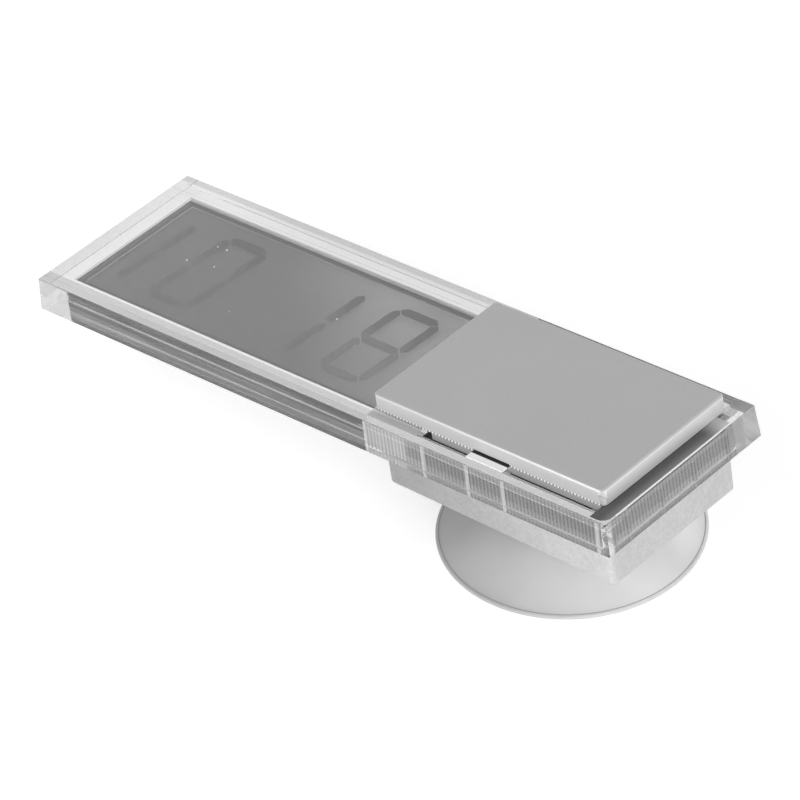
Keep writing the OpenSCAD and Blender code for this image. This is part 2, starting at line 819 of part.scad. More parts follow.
// Foam pad under the cover's roof that keeps the cell down
module cover_pad() {
    color([0.25, 0.25, 0.26]) on_sucker()
        translate([-cell_x, 0, cell_top + rest_gap])
            cylinder(h = cover_roof_z - cell_top - rest_gap, r = cap_r);
}

// A plunger with a retaining flange under the deck
module button(side) {
    color([0.7, 0.7, 0.71]) on_sucker()
        translate([-button_x, side * button_pitch / 2, 0])
            rotate_extrude()
                polygon([[0, button_z0], [button_r, button_z0], [button_r, flange_z1 - flange_t],
                    [button_r + flange_w, flange_z1 - flange_t], [button_r + flange_w, flange_z1],
                    [button_r, flange_z1], [button_r, button_proud - contact_t],
                    [button_r - contact_t, button_proud], [0, button_proud]]);
}

module mode_button() {
    button(1);
}

module set_button() {
    button(-1);
}

// Upper face of the cone at a share of the way from the shoulder to the rim
function cone_point(share) = [
    shoulder_r + (sucker_d / 2 - shoulder_r) * share,
    rim_t + (cone_h - rim_t) * pow(1 - share, cone_bend_share)];

// Soft sucker: flat sealing rim, hollow cone, neck and mushroom head, turned from one outline
module sucker() {
    head_top = head_z + head_t;
    color([0.85, 0.85, 0.86, 0.8])
        rotate_extrude($fn = rim_facets)
            polygon(concat(
                [[sucker_d / 2, 0]],
                [for (i = [cone_steps:-1:0]) cone_point(i / cone_steps)],
                [[neck_r, cone_h], [neck_r, head_z], [head_r, head_z],
                    [head_r, head_z + head_t / 2], [head_r / 2, head_top], [0, head_top]],
                backwards(cap_arc(sucker_d / 2 - rim_land, hollow_depth, cone_steps))));
}

face_plate();
rear_window();
front_polariser();
front_glass();
crystal_seal();
digit_bars();
rear_glass();
rear_polariser();
ribbed_frame();
module_tray();
circuit_board();
zebra_strip();
chip_blob();
quartz_crystal();
chip_capacitors();
negative_contact();
positive_contact();
cell_can();
cell_gasket();
cell_cap();
switch_domes();
rear_housing();
housing_screws();
silver_cover();
cover_pad();
mode_button();
set_button();
sucker();
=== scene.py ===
# %% [markdown]
# # A digital car clock
# A slim clock that sticks to a window: a thick clear plate with a see-through display, a silver
# lift-off cover, a frosted housing and a soft sucker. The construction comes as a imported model,
# whose parts keep their places, so this lesson only dresses it: finishes, refined skins for the
# pieces that show most, a camera and a studio.

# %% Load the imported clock
import json
import math

import bmesh
import bpy
import numpy as np
from mathutils import Matrix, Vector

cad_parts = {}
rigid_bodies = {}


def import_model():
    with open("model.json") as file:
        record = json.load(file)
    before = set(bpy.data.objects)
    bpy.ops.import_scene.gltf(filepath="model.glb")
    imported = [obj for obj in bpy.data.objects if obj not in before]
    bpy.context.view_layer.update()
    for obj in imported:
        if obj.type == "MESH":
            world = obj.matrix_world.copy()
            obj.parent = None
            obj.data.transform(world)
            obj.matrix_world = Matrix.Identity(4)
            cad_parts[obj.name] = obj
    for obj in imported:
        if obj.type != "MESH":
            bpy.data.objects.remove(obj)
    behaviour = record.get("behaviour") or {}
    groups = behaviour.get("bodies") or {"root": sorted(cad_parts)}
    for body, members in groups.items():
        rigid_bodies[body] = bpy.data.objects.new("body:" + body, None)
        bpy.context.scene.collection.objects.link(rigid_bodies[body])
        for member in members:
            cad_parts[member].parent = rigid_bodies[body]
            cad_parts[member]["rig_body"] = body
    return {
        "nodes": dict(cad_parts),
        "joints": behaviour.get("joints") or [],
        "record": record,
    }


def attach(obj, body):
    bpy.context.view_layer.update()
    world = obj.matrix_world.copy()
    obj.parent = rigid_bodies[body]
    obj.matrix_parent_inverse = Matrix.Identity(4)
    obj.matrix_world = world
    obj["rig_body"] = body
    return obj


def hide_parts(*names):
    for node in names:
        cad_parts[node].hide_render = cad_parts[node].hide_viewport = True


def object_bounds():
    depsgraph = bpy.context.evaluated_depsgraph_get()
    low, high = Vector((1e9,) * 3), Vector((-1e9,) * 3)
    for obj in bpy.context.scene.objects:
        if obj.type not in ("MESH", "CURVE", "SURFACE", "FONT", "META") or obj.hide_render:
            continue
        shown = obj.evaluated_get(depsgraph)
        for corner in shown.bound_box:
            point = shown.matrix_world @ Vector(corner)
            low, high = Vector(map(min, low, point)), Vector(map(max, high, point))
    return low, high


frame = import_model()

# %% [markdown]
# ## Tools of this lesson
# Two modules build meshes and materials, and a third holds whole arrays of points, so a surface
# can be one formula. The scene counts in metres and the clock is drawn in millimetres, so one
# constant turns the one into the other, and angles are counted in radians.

MM = 0.001
FULL_TURN = 2 * math.pi
cad_low, cad_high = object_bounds()
print("clock in mm:", [round((b - a) / MM, 2) for a, b in zip(cad_low, cad_high)])

# %% [markdown]
# ## Where the head sits
# The head was drawn flat and then tipped onto its sucker. Points are easiest to give on the flat
# head, in millimetres from the right end of the plate's top face, so one function carries them
# into the scene. The lean is read from the cover's joint, whose axis is the head's own upright.

# %% From the head's own millimetres to the scene
cover_axis = next(j["axis"] for j in frame["joints"] if j["name"] == "cover_lift")
LEAN = math.atan2(-cover_axis[0], cover_axis[2])
NECK_ON_HEAD = np.array([-19.825, 0.0, -11.710])
NECK_IN_SCENE = np.array([0.0, 0.0, 6.912])


def from_head(points):
    """Scene metres of points on the flat head: measured from the neck, turned by the lean about
    Y, then lifted to the neck's height."""
    p = np.asarray(points, float) - NECK_ON_HEAD
    c, s = math.cos(LEAN), math.sin(LEAN)
    turned = np.stack([p[..., 0] * c - p[..., 2] * s, p[..., 1],
                       p[..., 0] * s + p[..., 2] * c], -1)
    return (turned + NECK_IN_SCENE) * MM


print("lean in degrees:", round(math.degrees(LEAN), 2))

# %% [markdown]
# ## The camera
# A long lens far away keeps the plate's sides almost parallel, as in a shop photograph. Its place
# is an azimuth, an elevation and a distance around a point on the plate, and a roll that tilts
# the picture. A camera looks along its own -Z, so its Z axis points back at the viewer.

# %% Camera at the photograph's angle
AZIMUTH, ELEVATION, ROLL = (math.radians(a) for a in (47.670, 35.439, -9.271))
DISTANCE = 606.086
LOOK_AT = np.array([-39.177, -8.715, 0.0])
FOCAL_PX = 4775.117
PICTURE_PX = 800
SENSOR = 36.0

back = np.array([math.sin(AZIMUTH) * math.cos(ELEVATION),
                 -math.cos(AZIMUTH) * math.cos(ELEVATION), math.sin(ELEVATION)])
level = np.cross([0, 0, 1], back)
level /= np.linalg.norm(level)
upright = np.cross(back, level)
right = level * math.cos(ROLL) + upright * math.sin(ROLL)
up = upright * math.cos(ROLL) - level * math.sin(ROLL)

camera = bpy.data.objects.new("camera", bpy.data.cameras.new("camera"))
bpy.context.scene.collection.objects.link(camera)
bpy.context.scene.camera = camera
camera.data.sensor_width = SENSOR
camera.data.lens = FOCAL_PX / PICTURE_PX * SENSOR
camera.data.clip_start, camera.data.clip_end = 0.02, 20
axes = [(from_head(a) - from_head(np.zeros(3))) / MM for a in (right, up, back)]
pose = np.eye(4)
pose[:3, :3] = np.stack(axes, 1)
pose[:3, 3] = from_head(LOOK_AT + back * DISTANCE)
camera.matrix_world = Matrix(pose)
print("camera at", np.round(pose[:3, 3], 3), "lens", round(camera.data.lens, 1))

# %% [markdown]
# ## Writing a finish as sums
# A material is a graph of nodes. Drawn by hand it is quick to see and slow to write, so here a
# socket is wrapped in a small class: adding or multiplying two values adds the Math node that
# does it, and one method adds any other node with its settings and its sockets.

# %% Values that add their own nodes


class Value:
    """A number or vector that changes over a surface: a node's output, with the usual operators
    and a few steps that finishes need often."""

    def __init__(self, finish, socket):
        self.finish, self.socket = finish, socket

    def __add__(self, other):
        return self.finish.maths("ADD", self, other)

    def __sub__(self, other):
        return self.finish.maths("SUBTRACT", self, other)

    def __rsub__(self, other):
        return self.finish.maths("SUBTRACT", other, self)

    def __mul__(self, other):
        return self.finish.maths("MULTIPLY", self, other)

    __radd__ = __add__

    def size(self):
        return self.finish.maths("ABSOLUTE", self)

    def sine(self):
        return self.finish.maths("SINE", self)

    def smaller(self, other):
        return self.finish.maths("MINIMUM", self, other)

    def over(self, level):
        """1 where the value is over a level, else 0."""
        return self.finish.maths("GREATER_THAN", self, level)

    def under(self, level):
        """1 where the value is under a level, else 0."""
        return self.finish.maths("LESS_THAN", self, level)

    def near(self, place, half):
        """1 where the value is less than half away from a place, else 0."""
        return (self - place).size().under(half)

    def rise(self, low, high):
        """0 up to low, 1 from high on, and a smooth rise between."""
        return self.finish.node("ShaderNodeMapRange", {"interpolation_type": "SMOOTHSTEP"},
                                {"Value": self, "From Min": low, "From Max": high})


# %% [markdown]
# ## A material that is filled node by node
# The second class holds the material itself. Its patterns are laid out in the flat head's own
# millimetres, worked out from Object coordinates, so they stay on the clock when a joint moves it.

# %% Finishes


class Finish:
    """A material, or the world, whose nodes are added one by one."""

    def __init__(self, name, owner=None):
        self.owner = owner or bpy.data.materials.new(name)
        self.owner.use_nodes = True
        self.tree = self.owner.node_tree
        self.tree.nodes.clear()

    def node(self, kind, settings=None, inputs=None, output=0):
        """Adds a node with its settings and inputs, and gives one of its outputs as a Value."""
        made = self.tree.nodes.new(kind)
        for name, setting in (settings or {}).items():
            setattr(made, name, setting)
        for name, given in (inputs or {}).items():
            socket = made.inputs[name]
            if isinstance(given, Value):
                self.tree.links.new(given.socket, socket)
            elif socket.type == "RGBA":
                socket.default_value = (*given, 1)
            else:
                socket.default_value = given
        return Value(self, made.outputs[output]) if made.outputs else None

    def maths(self, operation, *numbers):
        return self.node("ShaderNodeMath", {"operation": operation}, dict(enumerate(numbers)))

    def spot(self, stretch=(1, 1, 1)):
        """Object coordinates in the flat head's millimetres, stretched along the head's axes: the
        way that from_head goes, backwards."""
        c, s = math.cos(LEAN), math.sin(LEAN)
        neck = np.array([NECK_IN_SCENE[2] * s, 0.0, NECK_IN_SCENE[2] * c])
        place = self.node("ShaderNodeTexCoord", output="Object")
        head = self.node("ShaderNodeMapping", {}, {
            "Vector": place, "Scale": (1 / MM, 1 / MM, 1 / MM), "Rotation": (0, LEAN, 0),
            "Location": tuple(NECK_ON_HEAD - neck)})
        return self.node("ShaderNodeMapping", {}, {"Vector": head, "Scale": stretch})

    def along(self, axis):
        """One coordinate of the flat head, in millimetres."""
        return self.node("ShaderNodeSeparateXYZ", {}, {0: self.spot()}, axis)

    def noise(self, per_mm, detail=2.0, roughness=0.5, stretch=(1, 1, 1)):
        return self.node("ShaderNodeTexNoise", {}, {
            "Vector": self.spot(stretch), "Scale": per_mm, "Detail": detail,
            "Roughness": roughness})

    def mix(self, share, first, second):
        """A colour between two, by a share."""
        return self.node("ShaderNodeMix", {"data_type": "RGBA"},
                         {0: share, 6: first, 7: second}, 2)

    def bump(self, height, depth_mm):
        return self.node("ShaderNodeBump", {}, {"Height": height, "Distance": depth_mm * MM})

    def skin(self, sockets, lamps_through=None, matte=None):
        """The surface shader. With matte, a share and a colour, that share of the surface is dull
        and closed. With a tint for lamps_through, shadow rays pass it, tinted so."""
        shader = self.node("ShaderNodeBsdfPrincipled", {}, sockets)
        if matte:
            dull = self.node("ShaderNodeBsdfPrincipled", {},
                             {"Base Color": matte[1], "Roughness": 0.6})
            shader = self.node("ShaderNodeMixShader", {}, {0: matte[0], 1: shader, 2: dull})
        if lamps_through:
            shadow = self.node("ShaderNodeLightPath", output="Is Shadow Ray")
            open_way = self.node("ShaderNodeBsdfTransparent", {}, {"Color": lamps_through})
            shader = self.node("ShaderNodeMixShader", {}, {0: shadow, 1: shader, 2: open_way})
        self.node("ShaderNodeOutputMaterial", {}, {"Surface": shader})
        print("finish", self.owner.name, "of", len(self.tree.nodes), "nodes")
        return self.owner


FINISH = {}


def grey(value):
    """The same share of red, green and blue."""
    return (value, value, value)


# %% [markdown]
# ## Clear acrylic
# The plate is polished acrylic. Light bends in it by an index of 1.49, which is why the display
# seems to float and the ribs show twice. Handling leaves faint smears, so the roughness wanders a
# little. Lamps pass it, because traced caustics would take far longer than they are worth here.

# %% What clear pieces share
ACRYLIC_INDEX, GLASS_INDEX = 1.49, 1.52


def clear_sockets(f, share, index, smear, wave_mm):
    """Clear plastic or glass: the share of light that passes, smears that raise the roughness,
    and a faint moulding wave."""
    smears = f.noise(0.16, detail=4, roughness=0.65).rise(0.45, 0.75)
    waves = f.noise(0.35, detail=1)
    return {"Base Color": share, "Roughness": 0.012 + smears * smear, "IOR": index,
            "Transmission Weight": 1.0, "Normal": f.bump(waves, wave_mm)}


# %% [markdown]
# ## Dust
# A few specks of dust lie on the display end. Each is a small ball round a point of the plate's
# top: where the surface is inside the ball, it is dull and white.

# %% Specks of dust: place along and across the plate, and radius
DUST = ((-84.0, 4.0, 0.1), (-82.4, 4.1, 0.12), (-85.5, -0.5, 0.1), (-81.1, 0.3, 0.09),
        (-58.5, 0.2, 0.14), (-72.0, -6.2, 0.07), (-66.0, 3.4, 0.06), (-52.3, -3.1, 0.06))


def dust_share(f):
    """1 in each speck of dust on the plate: nearer to its middle than its radius."""
    place, share = f.spot(), 0
    for x, y, radius in DUST:
        gap = f.node("ShaderNodeVectorMath", {"operation": "DISTANCE"},
                     {0: place, 1: (x, y, 0)}, "Value")
        share = share + gap.under(radius)
    return share


# %% [markdown]
# ## The plate's own marks
# A clear plate isn't clear all over. Its top is painted greyer along the long edges and along the
# rim over the covered end, as painted shade. The walls of the display's recess are cut and
# streaky, and the far part of the right end is sawn and dull. The keys between the cover's legs
# stand a
# little above the top: their dull faces look white, with a painted black shadow of the slit
# towards the cover.

# %% Plate: where each mark lies on the flat head, in mm
TOP_FROM, KEY_FROM, ROOF_LEVEL, LEVEL_HALF = -0.2, 0.02, -1.0, 0.02
COVERED_FROM = -41.3
# Where the painted shade of the top's bands and of the covered rim begins, off the middle
NEAR_SHADE_BAND, FAR_SHADE_BAND, RIM_SHADE_FROM = 12.3, 13.3, 12.95
# The painted black shadow of the slit beside the cover reaches this far off the middle
RECESS_WALL, ROOF_BORDER, SLIT_SHADOW_TO = 11.35, 11.4, 12.3
PLAIN_FROM = 9.95
SAWN_END_FACE, SAWN_TOP_X, SAWN_TOP_Y, SAWN_SHARE = -0.02, -2.3, 12.6, 0.7


def clear_acrylic():
    """The plate: painted greyer, as shade, along the bands of its top and along the rim over the
    covered end, streaky on the cut walls of the display's recess, and dull on the raised keys
    between the cover's legs, with a painted shadow of the slit beside the cover, on the border of
    the roof over the ribbed frame and on the sawn end."""
    f = Finish("clear_acrylic")
    end, across, height = f.along("X"), f.along("Y"), f.along("Z")
    side = across.size()
    covered, top, raised = end.over(COVERED_FROM), height.over(TOP_FROM), height.over(KEY_FROM)
    # Painted shade: the top is greyer along its long edges and along the rim over the covered end
    band_shade = ((0.0 - across).over(NEAR_SHADE_BAND) + across.over(FAR_SHADE_BAND) * 0.8) * top
    rim_shade = side.over(RIM_SHADE_FROM) * covered * top
    streaks = f.noise(0.5, detail=4, stretch=(0.12, 1, 2.5)).rise(0.3, 0.7)
    share = f.mix(rim_shade, f.mix(band_shade, grey(0.76), grey(0.42)), grey(0.4))
    share = f.mix(side.near(RECESS_WALL, LEVEL_HALF), share,
                  f.mix(streaks, grey(0.12), grey(0.55)))
    roof = height.near(ROOF_LEVEL, LEVEL_HALF) * side.over(ROOF_BORDER) * covered
    # Painted shadow: a black slit on the keys next to the cover's wall
    slit_shadow = (SLIT_SHADOW_TO - side).over(0.0) * raised
    sawn = (across.over(PLAIN_FROM) * end.over(SAWN_END_FACE)
            + across.over(SAWN_TOP_Y) * end.over(SAWN_TOP_X) * top) * SAWN_SHARE
    colour = f.mix(sawn.over(0.5), f.mix(slit_shadow, grey(0.97), grey(0.02)), grey(0.4))
    return f.skin(clear_sockets(f, share, ACRYLIC_INDEX, 0.03, 0.0015), lamps_through=grey(0.86),
                  matte=(raised + roof + dust_share(f) + sawn, colour))


FINISH["clear_acrylic"] = clear_acrylic()

# %% [markdown]
# ## The display's edge
# The display is a stack of glass and film, and its sealed border shows the stack from the side as
# thin dark and pale lines. A sine of the height draws them on the far edge; the near edge, seen
# through the whole plate, is one dark tone.

# %% Panes with a sealed edge
LAYER_PITCH = 0.41


def edged_pane(name, share, index, half_width, end, border, low):
    """A pane of glass or acrylic with a sealed border along its long sides and its left end, down
    to the level low."""
    f = Finish(name)
    streaks = f.noise(0.5, detail=4, stretch=(0.15, 1, 2.5))
    across, height = f.along("Y"), f.along("Z")
    edge = across.size().over(half_width - border) + (0.0 - f.along("X")).over(border - end)
    far_side = across.rise(-10.0, 0.0)
    layers = (height * (FULL_TURN / LAYER_PITCH) + 0.6).sine().rise(-0.2, 0.5)
    layers = layers * far_side + (1.0 - far_side) * 0.25
    seal = edge.over(0.5) * height.over(low)
    return f.skin(clear_sockets(f, grey(share), index, 0.02, 0.001), lamps_through=grey(0.97),
                  matte=(seal, f.mix(layers * 0.8 + streaks * 0.2, grey(0.02), grey(0.6))))


FINISH["display_glass"] = edged_pane("display_glass", share=0.97, index=GLASS_INDEX,
                                     half_width=11.0, end=-96.2, border=0.12, low=-9.0)
FINISH["window_acrylic"] = edged_pane("window_acrylic", share=0.8, index=ACRYLIC_INDEX,
                                      half_width=11.3, end=-96.3, border=0.03, low=-3.7)

# %% [markdown]
# ## The display
# Two polarising films take away more than half of the light, and the liquid crystal between the
# glasses turns dark where a digit shows. The display is painted darker towards its left and near
# edge, as painted shade, and its digits fade there. Films and digits let part of the light
# through, which is the Alpha socket.

# %% Display finishes
REAR_FILM_DEPTH = 2.5


def film_finish():
    """The grey films. The front one is nearly clear; the rear one shows the display's own grey,
    painted darker, as shade, and less open at the display's left and near edge."""
    f = Finish("polariser_film")
    # Painted light share: 1 towards the display's right and far edge, less towards its left and
    # near edge
    lit_share = (f.along("X") * 0.035 + f.along("Y") * 0.035 + 2.45).rise(0.0, 1.0)
    cloud = f.noise(0.09, detail=3)
    rear = (0.0 - f.along("Z")).over(REAR_FILM_DEPTH)
    grain = f.mix(lit_share * 0.9 + cloud * 0.1, grey(0.16), grey(1.0))
    return f.skin({"Base Color": f.mix(rear, grey(0.15), grain), "Roughness": 0.32,
                   "Alpha": rear * (0.62 - lit_share * 0.1) + 0.12}, lamps_through=grey(0.9))


def digit_finish():
    """The dark liquid crystal: stronger towards the display's right and far edge."""
    f = Finish("digit_ink")
    strong = (f.along("X") * 0.009 + f.along("Y") * 0.06 + 0.75).rise(0.0, 1.0)
    return f.skin({"Base Color": grey(0.02), "Roughness": 0.5, "Alpha": 0.15 + strong * 0.62})


FINISH["polariser_film"] = film_finish()
FINISH["digit_ink"] = digit_finish()

# %% [markdown]
# ## The ribbed frame
# The frame's fine ribs are moulded to hide what is behind them: each valley looks dark and each
# crest catches light. On the model the ribs are real, but a ray that bends twice in the plate
# blurs them, so the valleys also get painted shade and the crests painted light, in steps of the
# ribs' pitch along the wall, with darker painted shade in a band of height along the wall.

# %% Ribbed frame finish
RIB_PITCH, RIB_LOW, RIB_HIGH, RIBS_FROM = 0.6, -3.95, -2.0, -34.0
COLUMNS = (-31.3, -23.85, -17.85, -2.45)
COLUMN_HALF = 0.32


def ribbed_finish():
    """Half clear plastic whose painted shade is a sine of the place along the wall, squeezed to
    thin dark valleys, with painted light on the crests and darker painted shade in a band of
    height.
    The end wall runs along Y, the side walls along X. The wall is paler before the ribs begin, and
    plain beside the sawn end."""
    f = Finish("clear_frame")
    along, across, height = f.along("X"), f.along("Y"), f.along("Z")
    turn = (along + across) * (FULL_TURN / RIB_PITCH) + f.noise(0.4, detail=2) * 0.9
    dust = f.noise(1.2, detail=3)
    # Painted light on the crests and painted shade in the valleys
    crest_light = turn.sine().rise(-0.7, 0.6) * 0.75 + dust * 0.25
    # A band of height where the painted shade is darker
    shaded_band = height.over(RIB_LOW) * (0.0 - height).over(-RIB_HIGH)
    tone = f.mix(crest_light, f.mix(shaded_band, grey(0.28), grey(0.13)), f.mix(shaded_band, grey(0.6), grey(0.42)))
    before = (RIBS_FROM - along).rise(0.0, 0.8)
    tone = f.mix(before, tone, f.mix(crest_light, grey(0.42), grey(0.9)))
    tone = f.mix(across.over(PLAIN_FROM), tone, grey(0.6))
    tone = f.mix(sum(along.near(place, COLUMN_HALF) for place in COLUMNS), tone, grey(0.85))
    return f.skin({"Base Color": tone, "Roughness": 0.28, "IOR": ACRYLIC_INDEX,
                   "Transmission Weight": 0.3, "Normal": f.bump(dust, 0.01)},
                  lamps_through=grey(0.6))


FINISH["clear_frame"] = ribbed_finish()

# %% [markdown]
# ## Painted, moulded and metal finishes
# Few real surfaces are one flat colour. A moulded plastic has a fine grain, and steel has the
# marks of its tool. One function makes them all from a colour, the size and depth of the grain,
# and how much the grain changes colour and gloss.

# %% Solid finishes


def solid_finish(name, colour, roughness, grain=6.0, depth_mm=0.01, shade=0.12, **sockets):
    """A grainy solid: the colour darkens by shade in the grain's hollows and under a slow cloud,
    and the roughness follows the grain."""
    f = Finish(name)
    grains = f.noise(grain, detail=3, roughness=0.6)
    cloud = f.noise(0.12, detail=3)
    darker = tuple(c * (1 - shade) for c in colour)
    tone = f.mix(grains * 0.6 + cloud * 0.4, darker, colour)
    return f.skin({"Base Color": tone, "Roughness": grains * 0.12 + (roughness - 0.06),
                   "Normal": f.bump(grains, depth_mm), **sockets})


METAL = {"Metallic": 1.0, "grain": 9}  # a metal tints its own gloss, and its grain is fine
SOLIDS = {
    "seal_resin": dict(colour=grey(0.12), roughness=0.4),
    "black_plastic": dict(colour=(0.045, 0.045, 0.048), roughness=0.45),
    "black_resin": dict(colour=grey(0.02), roughness=0.18, grain=0.8, depth_mm=0.03),
    "bright_steel": dict(colour=(0.66, 0.66, 0.65), roughness=0.24, depth_mm=0.003, **METAL),
    "screw_steel": dict(colour=(0.55, 0.55, 0.56), roughness=0.32, depth_mm=0.004, **METAL),
    "contact_brass": dict(colour=(0.72, 0.58, 0.3), roughness=0.3, depth_mm=0.003, **METAL),
    "gasket_nylon": dict(colour=(0.1, 0.17, 0.4), roughness=0.5),
    "pad_foam": dict(colour=grey(0.05), roughness=0.9, grain=3.5, depth_mm=0.12, shade=0.5),
    "button_plastic": dict(colour=grey(0.5), roughness=0.45),
    "tan_ceramic": dict(colour=(0.42, 0.29, 0.18), roughness=0.55),
}
for solid, looks in SOLIDS.items():
    FINISH[solid] = solid_finish(solid, **looks)

# %% [markdown]
# ## Silver paint
# The cover is sprayed with fine metallic paint. Each flake is a tiny mirror at its own angle, so
# the paint sparkles softly: a pattern of small cells gives every flake its own shade and gloss.
# A painted highlight runs white along the arrises, the sides carry painted light and the legs
# painted shade, and a fine toothed line runs above the legs.

# %% Silver paint: the cover's own measures on the flat head, in mm
COVER_TOP, COVER_HALF_W, COVER_HALF_L, COVER_MIDDLE = 2.5, 11.9, 19.2, -21.5
# How wide the painted highlights on the arrises and on the ends' corners are, in mm
ARRIS_HIGHLIGHT_TO, ARRIS_HIGHLIGHT_FADE, END_HIGHLIGHT_WIDTH = 0.25, 0.03, 0.3
HEM_FROM, HEM_TO, HEM_DEPTH, TOOTH_PITCH = 2.15, 2.4, 0.1, 0.55


def silver_paint():
    """Paint in flakes under a slow cloud, with painted light down the sides and a painted
    highlight on the ends' corners, painted shade on the legs, a painted white highlight on the
    arrises, and white on the teeth of the hem."""
    f = Finish("silver_paint")
    flakes = f.node("ShaderNodeTexVoronoi", {}, {"Vector": f.spot(), "Scale": 16.0}, "Color")
    flake = f.node("ShaderNodeSeparateColor", {}, {0: flakes})
    cloud = f.noise(0.08, detail=4)
    orange_peel = f.noise(1.6, detail=2)
    paint = f.mix(flake * 0.7 + cloud * 0.3, grey(0.43), grey(0.53))
    along = f.along("X")
    down = COVER_TOP - f.along("Z")
    aside = COVER_HALF_W - f.along("Y").size()
    endwise = COVER_HALF_L - (along - COVER_MIDDLE).size()
    # Painted highlight: white along the middle of each arris's round
    arris_highlight = (0.0 - down - aside.smaller(endwise)).rise(-ARRIS_HIGHLIGHT_TO, ARRIS_HIGHLIGHT_FADE - ARRIS_HIGHLIGHT_TO) * 0.9
    end_highlight = (END_HIGHLIGHT_WIDTH - endwise).over(0.0)
    # Painted light makes the sides and the ends' corners paler than the top; the legs below the
    # hem get painted shade
    lit_sides_shaded_legs = f.mix(down.rise(0.1, 0.3) * (0.42 + end_highlight * 0.3), paint, grey(0.86))
    lit_sides_shaded_legs = f.mix(down.over(HEM_TO), lit_sides_shaded_legs, grey(0.42))
    hem = down.over(HEM_FROM) * (HEM_TO - down).over(0.0) * (HEM_DEPTH - aside).over(0.0)
    teeth = (along * (FULL_TURN / TOOTH_PITCH)).sine().rise(-0.3, 0.3)
    tone = f.mix(hem, f.mix(arris_highlight, lit_sides_shaded_legs, grey(0.97)), f.mix(teeth, grey(0.3), grey(1.0)))
    return f.skin({"Base Color": tone, "Metallic": 0.5, "Roughness": flake * 0.16 + 0.38,
                   "Normal": f.bump(flake * 0.5 + orange_peel, 0.006)})


FINISH["silver_paint"] = silver_paint()

# %% [markdown]
# ## Frosted housing
# The housing is milky plastic with an eroded face: pale, with a fine sparkle and no clear view
# through it. Light wanders in it a little, which subsurface scattering does.

# %% Frosted plastic


def frosted_plastic():
    """Grains and a slow cloud between two greys, which are paler towards the covered end, as
    painted light.
    """
    f = Finish("frosted_plastic")
    grains = f.noise(2.4, detail=4, roughness=0.75).rise(0.35, 0.65)
    cloud = f.noise(0.25, detail=3)
    # Painted light: paler towards the covered end
    lit_towards_end = (f.along("X") * 0.022 + 0.95).rise(0.0, 1.0)
    tone = f.mix(grains * 0.45 + cloud * 0.55, f.mix(lit_towards_end, grey(0.24), grey(0.48)),
                 f.mix(lit_towards_end, grey(0.4), grey(0.7)))
    return f.skin({"Base Color": tone, "Roughness": grains * 0.2 + 0.42, "Subsurface Weight": 0.2,
                   "Subsurface Radius": (1, 1, 1), "Subsurface Scale": 0.8 * MM,
                   "Normal": f.bump(grains, 0.02)})


FINISH["frosted_plastic"] = frosted_plastic()

# %% [markdown]
# ## Soft vinyl
# The sucker is clear vinyl gone milky, painted paler towards the light. A thin crease runs round
# it just inside the rim, where the vinyl bends when the sucker is pressed on, and a dark line of
# painted shade marks it, so the tone also follows the distance from the sucker's own axis, which
# is the scene's Z.

# %% Soft vinyl
CREASE_RADIUS, CREASE_SHADE_HALF = 17.05, 0.07


def soft_vinyl():
    f = Finish("soft_vinyl")
    haze = f.noise(0.15, detail=3)
    fine = f.noise(2.5, detail=2)
    lit = (f.along("X") * 0.03 + f.along("Y") * 0.02 + 1.1).rise(0.0, 1.0)
    tone = f.mix(lit * 0.75 + haze * 0.25, grey(0.52), grey(0.98))
    place = f.node("ShaderNodeTexCoord", output="Object")
    flat = f.node("ShaderNodeMapping", {}, {"Vector": place, "Scale": (1 / MM, 1 / MM, 0)})
    radius = f.node("ShaderNodeVectorMath", {"operation": "LENGTH"}, {0: flat}, "Value")
    # Painted shade: a dark line in the crease
    tone = f.mix(radius.near(CREASE_RADIUS, CREASE_SHADE_HALF), tone, grey(0.35))
    return f.skin({"Base Color": tone, "Roughness": haze * 0.1 + 0.28, "IOR": 1.5,
                   "Transmission Weight": 0.35, "Normal": f.bump(fine, 0.004)},
                  lamps_through=grey(0.7))


FINISH["soft_vinyl"] = soft_vinyl()

# %% [markdown]
# ## Black foil
# The foil beside the cover's end is glossy and nearly black. Towards the plate's arris and its far
# end it catches the light of the room, so it is paler there.

# %% Foil finish


def foil_finish():
    f = Finish("foil")
    outer = f.along("X").rise(-1.7, -0.3) * 0.12 + f.along("Y").rise(6.0, 9.5) * 0.45
    scuffs = f.noise(1.5, detail=4, roughness=0.7)
    tone = f.mix(outer + scuffs * 0.04, grey(0.05), grey(1.0))
    return f.skin({"Base Color": tone, "Roughness": scuffs * 0.15 + 0.3,
                   "Normal": f.bump(scuffs, 0.004)})


FINISH["foil"] = foil_finish()

# %% [markdown]
# ## Inside pieces with a pattern
# The striped rubber is black and grey slices side by side, each joining one contact, and the
# board's copper tracks show through its green mask. Both are sines squeezed to stripes.

# %% Striped rubber and circuit board
STRIPES_TURN, TRACKS_TURN = 20.0, 40.0


def striped_rubber():
    f = Finish("striped_rubber")
    wave = (f.along("Y") * STRIPES_TURN).sine()
    tone = f.mix(wave.rise(-0.3, 0.3), grey(0.03), (0.28, 0.28, 0.27))
    return f.skin({"Base Color": tone, "Roughness": 0.7, "Normal": f.bump(wave, 0.01)})


def board_laminate():
    f = Finish("board_laminate")
    blocks = f.node("ShaderNodeTexVoronoi", {"distance": "MANHATTAN"},
                    {"Vector": f.spot(), "Scale": 0.35})
    tracks = (blocks * TRACKS_TURN).sine().rise(0.2, 0.5)
    tone = f.mix(tracks, (0.03, 0.1, 0.05), (0.07, 0.2, 0.1))
    return f.skin({"Base Color": tone, "Roughness": 0.3, "Normal": f.bump(tracks, 0.03)})


FINISH["striped_rubber"] = striped_rubber()
FINISH["board_laminate"] = board_laminate()

